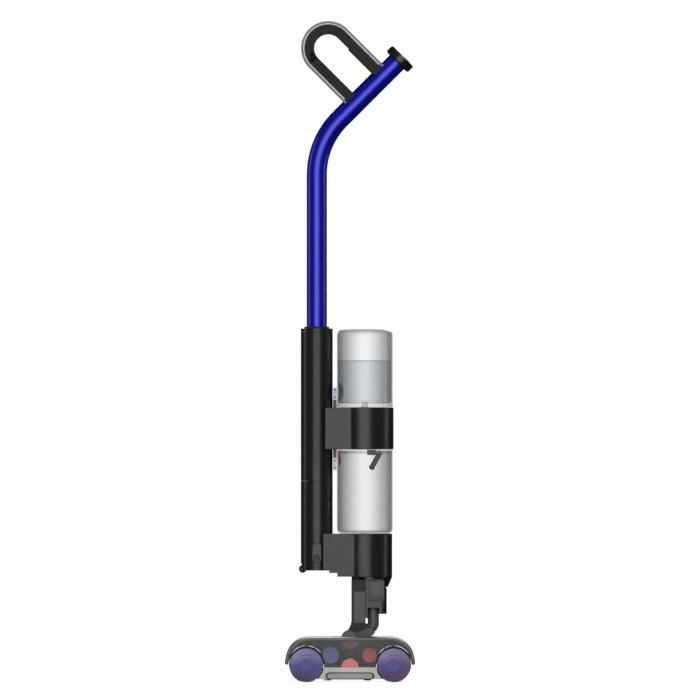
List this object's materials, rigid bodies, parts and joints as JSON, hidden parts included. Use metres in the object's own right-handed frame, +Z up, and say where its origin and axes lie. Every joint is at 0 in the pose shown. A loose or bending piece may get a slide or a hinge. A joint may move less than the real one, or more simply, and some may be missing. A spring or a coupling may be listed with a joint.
{
  "type": "wet dry floor scrubber",
  "caption": "Upright cordless wet and dry floor scrubber: roller head under an arched cover, hinged swivel neck, body with stacked water tanks, bent wand with loop handle.",
  "frame": {"origin": "centre of the floor head's footprint, on the floor", "axes": "+Z up along the upright machine, +X towards the machine's front (the tank side), +Y towards the machine's left side"},
  "size_m": [0.225, 0.3, 1.1396],
  "materials": {
    "graphite_shell": "satin graphite ABS",
    "black_plastic": "matte black plastic",
    "grey_plastic": "satin mid grey plastic",
    "light_grey_plastic": "satin light grey plastic",
    "smoky_clear": "smoky clear polycarbonate",
    "tank_clear": "clear tank plastic",
    "tank_frosted": "frosted tank plastic",
    "lavender_fibre": "short pile microfibre",
    "blue_fibre": "short pile microfibre",
    "red_rubber": "satin red rubber",
    "roller_cap_blue": "satin indigo plastic",
    "red_plastic": "satin red plastic",
    "blue_plastic": "gloss blue plastic",
    "blue_paint": "gloss deep blue lacquer",
    "steel": "turned steel",
    "black_rubber": "matte rubber",
    "display_glass": "gloss black display window",
    "button_grey": "satin pale grey",
    "battery_wrap": "shrink wrapped cells",
    "board_green": "solder masked board",
    "hose_clear": "milky silicone hose"
  },
  "bodies": {
    "head": {"head_cover": "graphite_shell", "head_chassis": "black_plastic", "end_windows": "smoky_clear", "drive_end_plate": "black_plastic", "roller_motors": "steel", "spray_bars": "light_grey_plastic", "squeegees": "black_rubber", "hinge_beam": "red_plastic", "hinge_yoke": "grey_plastic", "hinge_pin": "steel", "upright_stop": "black_rubber"},
    "rear_roller": {"rear_roller_core": "grey_plastic", "rear_roller_sleeve": "lavender_fibre", "rear_roller_cap": "roller_cap_blue"},
    "front_roller": {"front_roller_core": "grey_plastic", "front_roller_sleeve": "lavender_fibre", "front_roller_cap": "roller_cap_blue"},
    "rear_inner_roller": {"rear_inner_core": "grey_plastic", "rear_inner_sleeve": "blue_fibre"},
    "front_inner_roller": {"front_inner_core": "grey_plastic", "front_inner_sleeve": "red_rubber"},
    "tray": {"debris_tray": "light_grey_plastic", "tray_handle": "grey_plastic", "tray_feet": "black_rubber"},
    "tray_release": {"tray_button": "red_plastic"},
    "neck": {"neck_arm": "graphite_shell", "neck_side_panels": "grey_plastic", "neck_links": "black_plastic", "neck_duct": "grey_plastic", "neck_housing": "black_plastic", "neck_turret": "black_plastic"},
    "upper_body": {"base_lower_cover": "graphite_shell", "base_housing": "graphite_shell", "base_skirt": "black_plastic", "base_screws": "steel", "water_pumps": "steel", "hoses": "hose_clear", "spine_front_shell": "graphite_shell", "spine_rear_shell": "graphite_shell", "battery_cover": "graphite_shell", "battery_pack": "battery_wrap", "main_board": "board_green", "spine_bottom_cap": "black_plastic", "charging_port": "black_plastic", "collar_housing": "graphite_shell", "latch_posts": "black_plastic", "wand_tube": "blue_paint", "loop_grip": "black_plastic", "loop_rim": "grey_plastic", "display_housing": "black_plastic", "display_screen": "display_glass"},
    "trailing_wheel": {"rear_wheel": "black_rubber"},
    "clean_tank": {"clean_tank_shell": "tank_clear", "clean_tank_base": "grey_plastic"},
    "dirty_tank": {"dirty_tank_shell": "tank_frosted", "dirty_tank_lid": "tank_frosted"},
    "clean_tank_latch": {"clean_tank_button": "blue_plastic"},
    "dirty_tank_latch": {"dirty_tank_button": "red_plastic"},
    "power_key": {"power_button": "button_grey"},
    "mode_key": {"mode_button": "button_grey"}
  },
  "joints": [
    {"name": "head_pitch", "type": "hinge", "parent": "head", "child": "neck", "pos_m": [0, 0, 0.0734], "axis": [0, -1, 0], "range_deg": [0, 80]},
    {"name": "neck_swivel", "type": "hinge", "parent": "neck", "child": "upper_body", "pos_m": [0.034, 0, 0.18], "axis": [0, 0, 1], "range_deg": [-40, 40]},
    {"name": "rear_roller_spin", "type": "hinge", "parent": "head", "child": "rear_roller", "pos_m": [-0.0755, 0, 0.03], "axis": [0, 1, 0], "continuous": true},
    {"name": "front_roller_spin", "type": "hinge", "parent": "head", "child": "front_roller", "pos_m": [0.0755, 0, 0.03], "axis": [0, 1, 0], "continuous": true},
    {"name": "rear_inner_spin", "type": "hinge", "parent": "head", "child": "rear_inner_roller", "pos_m": [-0.0334, 0, 0.04699], "axis": [0, 1, 0], "continuous": true},
    {"name": "front_inner_spin", "type": "hinge", "parent": "head", "child": "front_inner_roller", "pos_m": [0.0334, 0, 0.04699], "axis": [0, 1, 0], "continuous": true},
    {"name": "tray_slide", "type": "slide", "parent": "head", "child": "tray", "axis": [0, -1, 0], "range_m": [0, 0.29]},
    {"name": "tray_button_press", "type": "slide", "parent": "head", "child": "tray_release", "axis": [0, 1, 0], "range_m": [0, 0.004], "stiffness_N_per_m": 800, "springref_m": -0.002},
    {"name": "rear_wheel_spin", "type": "hinge", "parent": "upper_body", "child": "trailing_wheel", "pos_m": [-0.0816, 0, 0.1942], "axis": [0, 1, 0], "continuous": true},
    {"name": "clean_tank_lift", "type": "slide", "parent": "upper_body", "child": "clean_tank", "axis": [0, 0, 1], "range_m": [0, 0.16]},
    {"name": "dirty_tank_pull", "type": "slide", "parent": "upper_body", "child": "dirty_tank", "axis": [1, 0, 0], "range_m": [0, 0.13]},
    {"name": "clean_tank_button_press", "type": "slide", "parent": "upper_body", "child": "clean_tank_latch", "axis": [0, 1, 0], "range_m": [0, 0.0025], "stiffness_N_per_m": 800, "springref_m": -0.002},
    {"name": "dirty_tank_button_press", "type": "slide", "parent": "upper_body", "child": "dirty_tank_latch", "axis": [0, 1, 0], "range_m": [0, 0.0025], "stiffness_N_per_m": 800, "springref_m": -0.002},
    {"name": "power_button_press", "type": "slide", "parent": "upper_body", "child": "power_key", "axis": [-0.7071, 0, -0.7071], "range_m": [0, 0.001], "stiffness_N_per_m": 800, "springref_m": -0.001},
    {"name": "mode_button_press", "type": "slide", "parent": "upper_body", "child": "mode_key", "axis": [-0.7071, 0, -0.7071], "range_m": [0, 0.001], "stiffness_N_per_m": 800, "springref_m": -0.001}
  ],
  "couplings": [
    {"joint": "rear_inner_spin", "follows": "rear_roller_spin", "ratio": -1.3333},
    {"joint": "front_inner_spin", "follows": "front_roller_spin", "ratio": -1.3333}
  ]
}
